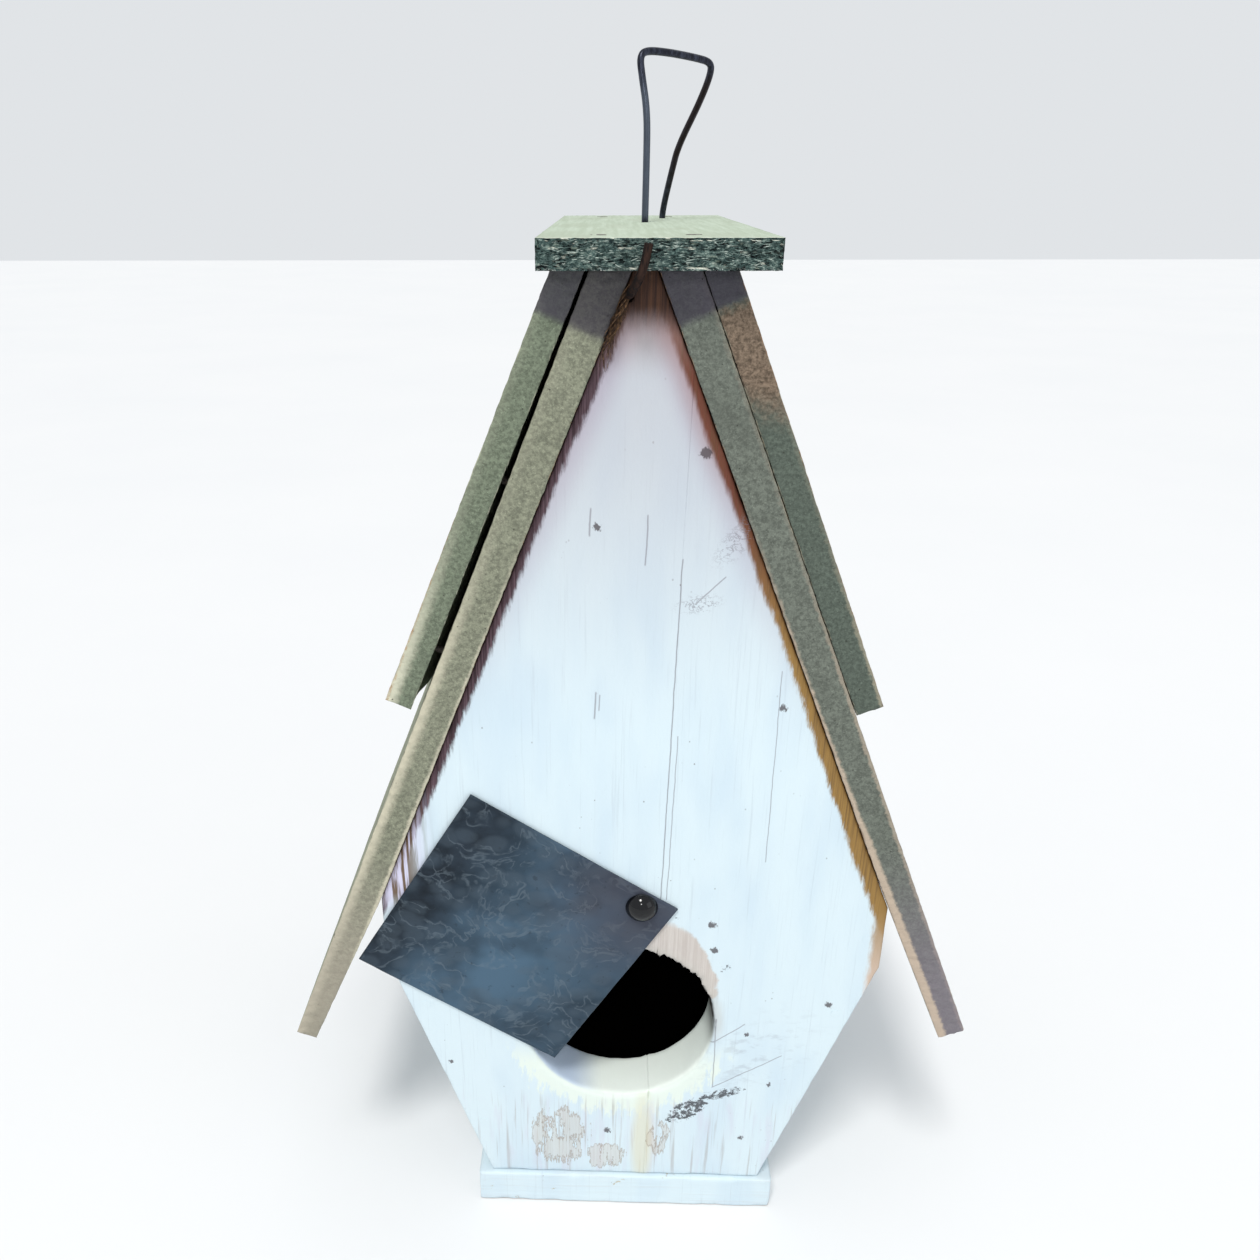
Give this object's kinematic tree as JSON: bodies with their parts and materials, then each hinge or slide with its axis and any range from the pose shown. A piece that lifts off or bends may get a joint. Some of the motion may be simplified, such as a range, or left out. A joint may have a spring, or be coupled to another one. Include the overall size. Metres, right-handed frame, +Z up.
{
  "type": "birdhouse",
  "caption": "Hanging birdhouse of painted boards with a steep layered roof, round entrance, swinging metal cover plate and wire loop.",
  "frame": {"origin": "middle of the floor board's underside", "axes": "+Z up, front with the entrance towards -Y, +X to the right of someone facing the front"},
  "size_m": [0.2512, 0.211, 0.4175],
  "materials": {
    "white_painted_board": "dry-brushed white paint over old boards",
    "grey_green_roof_board": "weathered sage green paint, rough sawn ends",
    "cap_board": "pale sage paint, rough sawn ends",
    "white_floor_board": "chipped white paint",
    "aged_zinc_sheet": "dull blue-grey patina",
    "black_nail": "glossy black",
    "dark_wire": "dark annealed, rusty at its tail",
    "steel_nails": "plain wire nails"
  },
  "bodies": {
    "house": {"floor_board": "white_floor_board", "front_board_left": "white_painted_board", "front_board_right": "white_painted_board", "back_board_left": "white_painted_board", "back_board_right": "white_painted_board", "side_wall_left": "white_painted_board", "side_wall_right": "white_painted_board", "side_strip_left": "white_painted_board", "side_strip_right": "white_painted_board", "roof_lower_left": "grey_green_roof_board", "roof_lower_right": "grey_green_roof_board", "roof_upper_left": "grey_green_roof_board", "roof_upper_right": "grey_green_roof_board", "ridge_cap": "cap_board", "hanging_wire": "dark_wire", "pivot_nail": "black_nail", "floor_nails": "steel_nails", "front_nails": "steel_nails", "back_nails": "steel_nails", "roof_nails_left": "steel_nails", "roof_nails_right": "steel_nails", "cap_nails": "steel_nails"},
    "cover_plate": {"cover_plate": "aged_zinc_sheet"}
  },
  "joints": [
    {"name": "cover_plate_swing", "type": "hinge", "parent": "house", "child": "cover_plate", "pos_m": [0.0032, -0.0943, 0.1477], "axis": [0, -1, 0], "range_deg": [-1, 143]}
  ]
}
